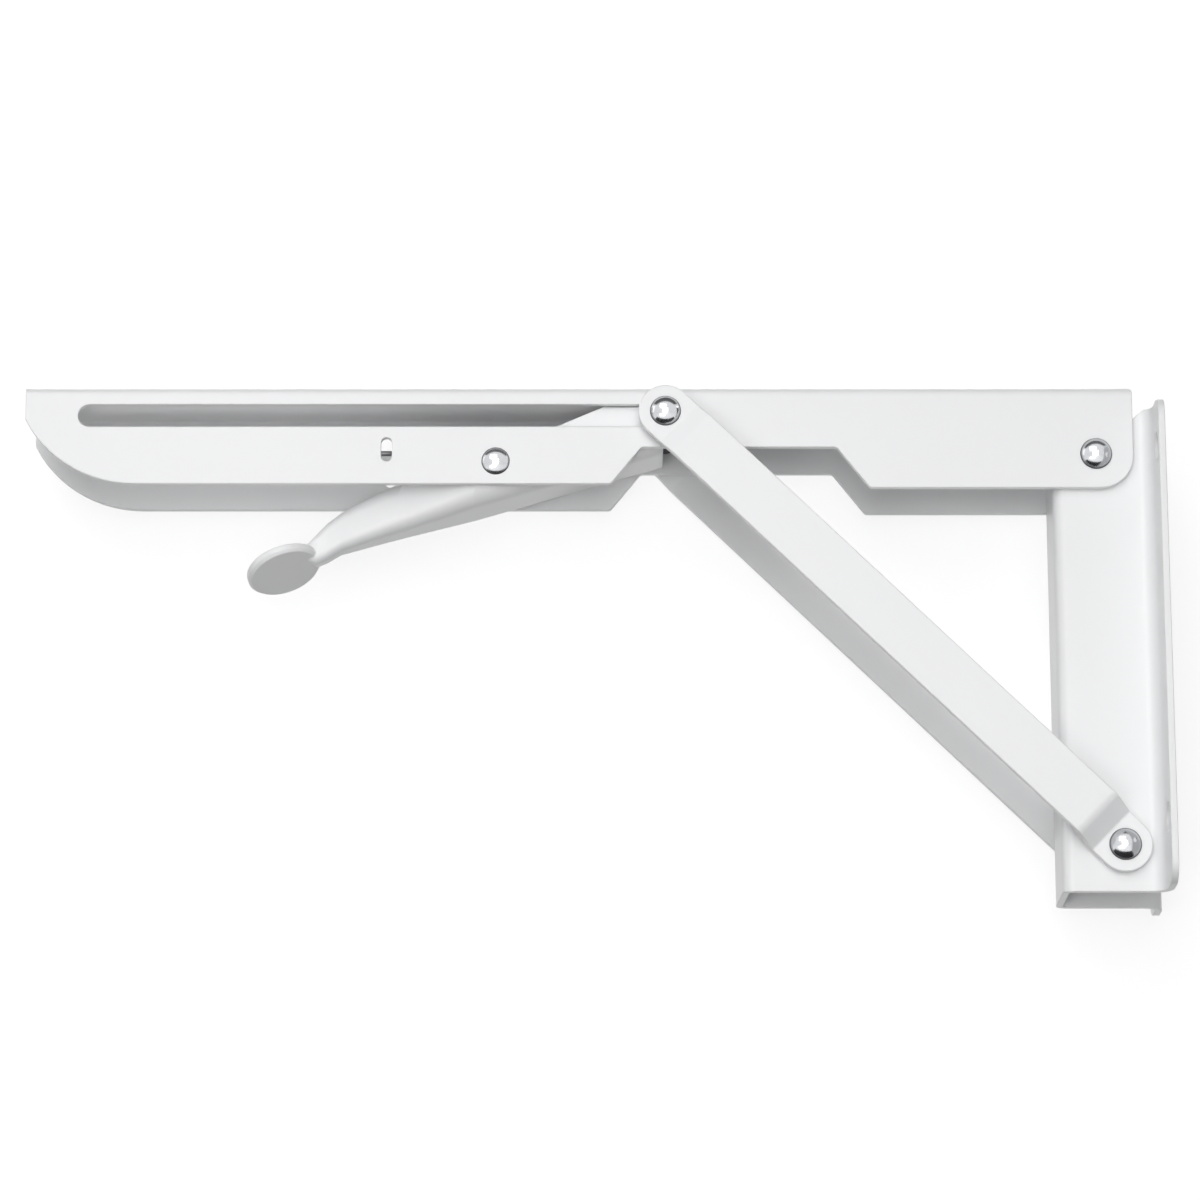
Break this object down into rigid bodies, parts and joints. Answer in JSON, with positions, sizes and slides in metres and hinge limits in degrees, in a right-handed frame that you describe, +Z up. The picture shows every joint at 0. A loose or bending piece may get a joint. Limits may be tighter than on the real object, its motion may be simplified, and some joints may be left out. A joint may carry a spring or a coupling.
{
  "type": "folding shelf bracket",
  "caption": "White folding shelf bracket with a hat-section wall plate, a slotted channel arm, a sliding strut and a release lever under the arm.",
  "frame": {"origin": "centre of the four wall screw holes, on the wall plane at the back of the flanges", "axes": "+X into the wall, so the arm points along -X; +Y across the bracket's width; +Z up"},
  "size_m": [0.2539, 0.044, 0.115],
  "materials": {
    "white_coat": "smooth white powder coat",
    "chrome": "bright plated",
    "black_nylon": "matte",
    "spring_steel": "drawn wire"
  },
  "bodies": {
    "wall": {"wall_bracket": "white_coat", "arm_pivot_rivet": "chrome", "strut_pivot_rivet": "chrome"},
    "arm": {"shelf_arm": "white_coat", "lever_pivot_rivet": "chrome", "latch_spring": "spring_steel"},
    "lever": {"release_lever": "white_coat"},
    "slide": {"slide_axle": "chrome", "slide_roller": "black_nylon", "slot_slider_near": "chrome", "slot_slider_far": "chrome"},
    "strut": {"strut_bar_near": "white_coat", "strut_bar_far": "white_coat", "slide_cap_near": "chrome", "slide_cap_far": "chrome"}
  },
  "joints": [
    {"name": "arm_fold", "type": "hinge", "parent": "wall", "child": "arm", "pos_m": [-0.01435, 0, 0.042], "axis": [0, -1, 0], "range_deg": [0, 81]},
    {"name": "strut_swing", "type": "hinge", "parent": "wall", "child": "strut", "pos_m": [-0.01033, 0, -0.04716], "axis": [0, -1, 0], "range_deg": [0, 114.35]},
    {"name": "pin_slide", "type": "slide", "parent": "arm", "child": "slide", "axis": [-1, 0, 0], "range_m": [0, 0.12887]},
    {"name": "lever_release", "type": "hinge", "parent": "arm", "child": "lever", "pos_m": [-0.14855, 0, 0.0403], "axis": [0, 1, 0], "range_deg": [0, 8.3], "stiffness_Nm_per_rad": 0.5, "springref_deg": -14.32, "deforming": ["latch_spring"]}
  ],
  "couplings": [
    {"joint": "strut_swing", "follows": "arm_fold", "ratio": 1.4115},
    {"joint": "pin_slide", "follows": "arm_fold", "m_per_rad": 0.09115}
  ]
}
